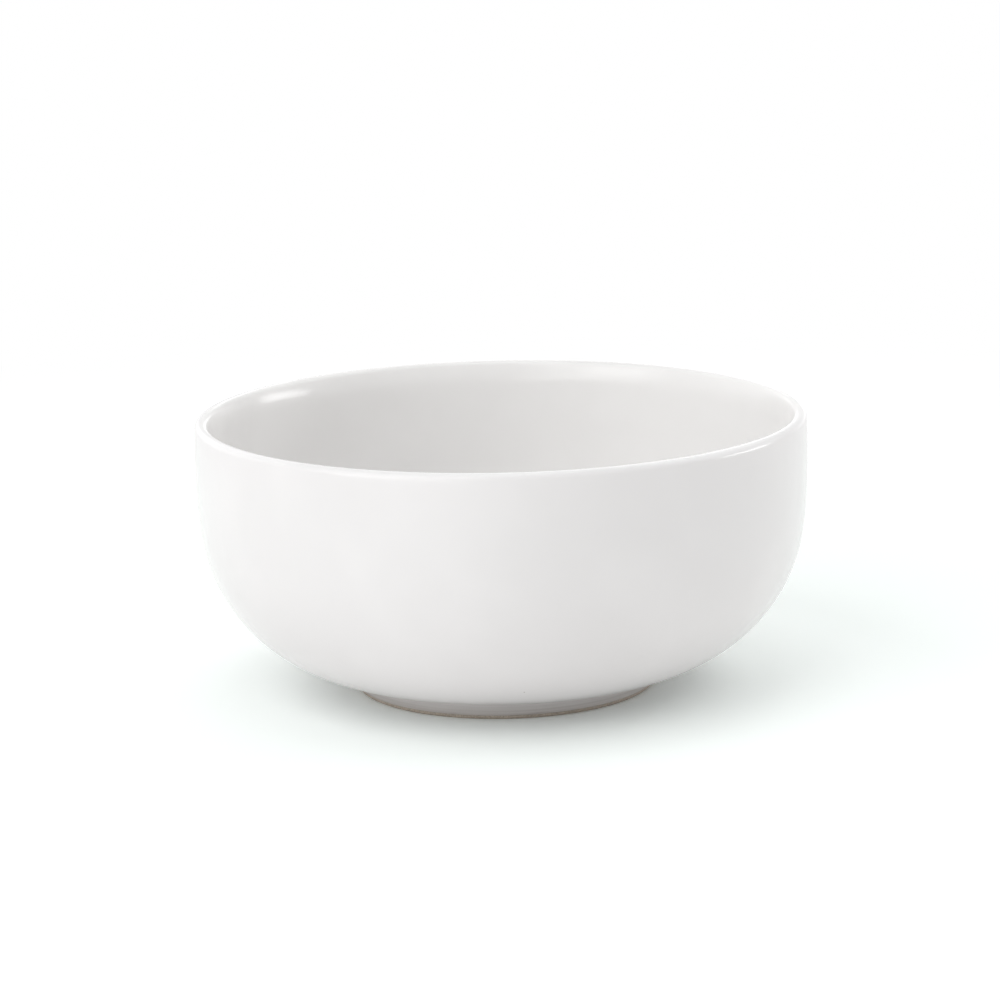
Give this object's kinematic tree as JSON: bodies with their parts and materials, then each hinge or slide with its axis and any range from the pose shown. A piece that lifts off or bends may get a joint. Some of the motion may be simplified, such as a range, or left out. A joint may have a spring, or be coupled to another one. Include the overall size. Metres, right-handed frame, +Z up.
{
  "type": "bowl",
  "caption": "Plain round glazed ceramic bowl with a bowed wall, rounded rim and low foot ring, for serving soup or cereal.",
  "frame": {"origin": "centre of the foot ring's contact face, on the table", "axes": "+Z up along the bowl's axis of revolution, +X and +Y level; the bowl is the same all round"},
  "size_m": [0.15, 0.15, 0.0676],
  "materials": {
    "clay": "bare fired clay, matt",
    "inner_glaze": "white satin glaze",
    "outer_glaze": "white satin glaze",
    "foot_well_glaze": "thin white satin glaze"
  },
  "bodies": {
    "root": {"clay_bowl": "clay", "foot_ring": "clay", "inner_glaze": "inner_glaze", "outer_glaze": "outer_glaze", "foot_well_glaze": "foot_well_glaze"}
  },
  "joints": []
}
